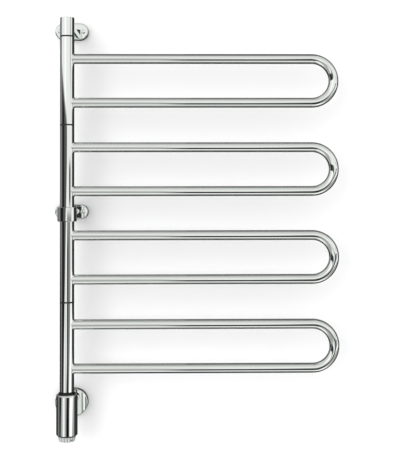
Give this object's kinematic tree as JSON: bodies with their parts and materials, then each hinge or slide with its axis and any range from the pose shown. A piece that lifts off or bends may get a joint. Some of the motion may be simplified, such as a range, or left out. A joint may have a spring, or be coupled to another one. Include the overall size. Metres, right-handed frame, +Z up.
{
  "type": "electric heated towel rail",
  "caption": "Wall-mounted electric towel rail: U-shaped heated arms swing about one upright column, with a control knob at its foot.",
  "frame": {"origin": "centre of the middle wall plate's two-screw pattern, on the wall plane", "axes": "+Z up along the column, +X along the arms at rest, +Y into the wall"},
  "size_m": [0.526, 0.0993, 0.7695],
  "materials": {
    "chrome": "polished bright chrome",
    "black_polymer": "turned black acetal",
    "turned_steel": "turned stainless steel",
    "screw_steel": "bright zinc",
    "zinc_plate": "zinc-plated steel",
    "cable_jacket": "silicone jacket",
    "soft_black": "soft rubber",
    "board_green": "solder-masked board",
    "terminal_plastic": "moulded",
    "lamp_lens": "clear moulded lens",
    "knob_plastic": "translucent smoked acrylic",
    "marker_ink": "filled dot"
  },
  "bodies": {
    "wall_frame": {"top_wall_plate": "chrome", "top_post": "chrome", "top_post_screw": "screw_steel", "top_holder": "chrome", "top_cap": "chrome", "top_pin_carrier": "turned_steel", "top_pivot_pin": "turned_steel", "middle_wall_plate": "chrome", "middle_post": "chrome", "middle_post_screw": "screw_steel", "middle_collar": "chrome", "middle_pivot_pin": "turned_steel", "bottom_base": "zinc_plate", "base_grub_screw": "screw_steel", "cable_grommet": "soft_black", "wall_rosette": "chrome", "bottom_post": "chrome", "control_housing": "chrome", "housing_pin_seat": "black_polymer", "bottom_pivot_pin": "turned_steel", "heating_cable_tail": "cable_jacket", "switch_carrier": "black_polymer", "dial_body": "black_polymer", "control_board": "board_green", "terminal_block": "terminal_plastic", "terminal_screws": "screw_steel", "power_switch": "black_polymer", "indicator_lamp": "lamp_lens"},
    "arm_1": {"arm_1_column": "chrome", "arm_1_loop": "chrome", "arm_1_heating_cable": "cable_jacket", "arm_1_lower_bush": "black_polymer", "arm_1_upper_bush": "black_polymer", "cable_end_seal": "soft_black"},
    "arm_2": {"arm_2_column": "chrome", "arm_2_loop": "chrome", "arm_2_heating_cable": "cable_jacket", "arm_2_lower_bush": "black_polymer", "arm_2_pin_seat": "turned_steel", "arm_2_pivot_pin": "turned_steel"},
    "arm_3": {"arm_3_column": "chrome", "arm_3_loop": "chrome", "arm_3_heating_cable": "cable_jacket", "arm_3_lower_bush": "black_polymer", "arm_3_upper_bush": "black_polymer"},
    "arm_4": {"arm_4_column": "chrome", "arm_4_loop": "chrome", "arm_4_heating_cable": "cable_jacket", "arm_4_lower_bush": "black_polymer", "arm_4_pin_seat": "turned_steel", "arm_4_pivot_pin": "turned_steel"},
    "knob": {"knob": "knob_plastic", "knob_marker": "marker_ink", "dial_shaft": "turned_steel"}
  },
  "joints": [
    {"name": "arm_1_swing", "type": "hinge", "parent": "wall_frame", "child": "arm_1", "pos_m": [0, -0.08, 0.2401], "axis": [0, 0, -1], "range_deg": [0, 180]},
    {"name": "arm_2_swing", "type": "hinge", "parent": "wall_frame", "child": "arm_2", "pos_m": [0, -0.08, 0.0789], "axis": [0, 0, -1], "range_deg": [0, 180]},
    {"name": "arm_3_swing", "type": "hinge", "parent": "wall_frame", "child": "arm_3", "pos_m": [0, -0.08, -0.0813], "axis": [0, 0, -1], "range_deg": [0, 180]},
    {"name": "arm_4_swing", "type": "hinge", "parent": "wall_frame", "child": "arm_4", "pos_m": [0, -0.08, -0.2425], "axis": [0, 0, -1], "range_deg": [0, 180]},
    {"name": "knob_turn", "type": "hinge", "parent": "wall_frame", "child": "knob", "pos_m": [0, -0.08, -0.4039], "axis": [0, 0, -1], "range_deg": [0, 270]}
  ]
}
